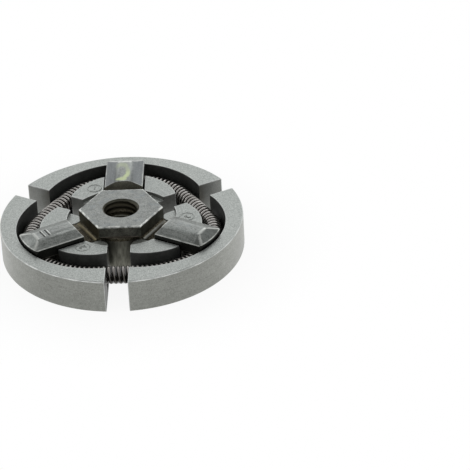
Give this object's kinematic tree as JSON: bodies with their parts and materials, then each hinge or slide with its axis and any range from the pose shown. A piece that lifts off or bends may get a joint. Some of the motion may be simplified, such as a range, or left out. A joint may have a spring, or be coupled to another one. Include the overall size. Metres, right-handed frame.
{
  "type": "centrifugal clutch",
  "caption": "Round centrifugal clutch: a threaded hexagon hub whose arms guide sliding friction shoes, held in by one ring-shaped coil spring.",
  "frame": {"origin": "centre of the hub's back face, on which the part lies", "axes": "+Z along the hub's axis, out of the hexagon's face; +Y along one of the hub's arms, towards shoe_1"},
  "size_m": [0.08, 0.0798, 0.0147],
  "materials": {
    "hub_steel": "forged and turned, lightly oiled",
    "shoe_iron": "fine grained, dull grey, dark oxide in the groove",
    "spring_steel": "drawn wire with a brown-grey oxide"
  },
  "bodies": {
    "hub": {"hub": "hub_steel", "garter_spring": "spring_steel"},
    "shoe_1": {"shoe_1": "shoe_iron"},
    "shoe_2": {"shoe_2": "shoe_iron"},
    "shoe_3": {"shoe_3": "shoe_iron"}
  },
  "joints": [
    {"name": "shoe_1_slide", "type": "slide", "parent": "hub", "child": "shoe_1", "axis": [0, 1, 0], "range_m": [0, 0.0015], "stiffness_N_per_m": 2200, "springref_m": -0.004, "deforming": ["garter_spring"]},
    {"name": "shoe_2_slide", "type": "slide", "parent": "hub", "child": "shoe_2", "axis": [-0.866, -0.5, 0], "range_m": [0, 0.0015], "stiffness_N_per_m": 2200, "springref_m": -0.004, "deforming": ["garter_spring"]},
    {"name": "shoe_3_slide", "type": "slide", "parent": "hub", "child": "shoe_3", "axis": [0.866, -0.5, 0], "range_m": [0, 0.0015], "stiffness_N_per_m": 2200, "springref_m": -0.004, "deforming": ["garter_spring"]}
  ]
}
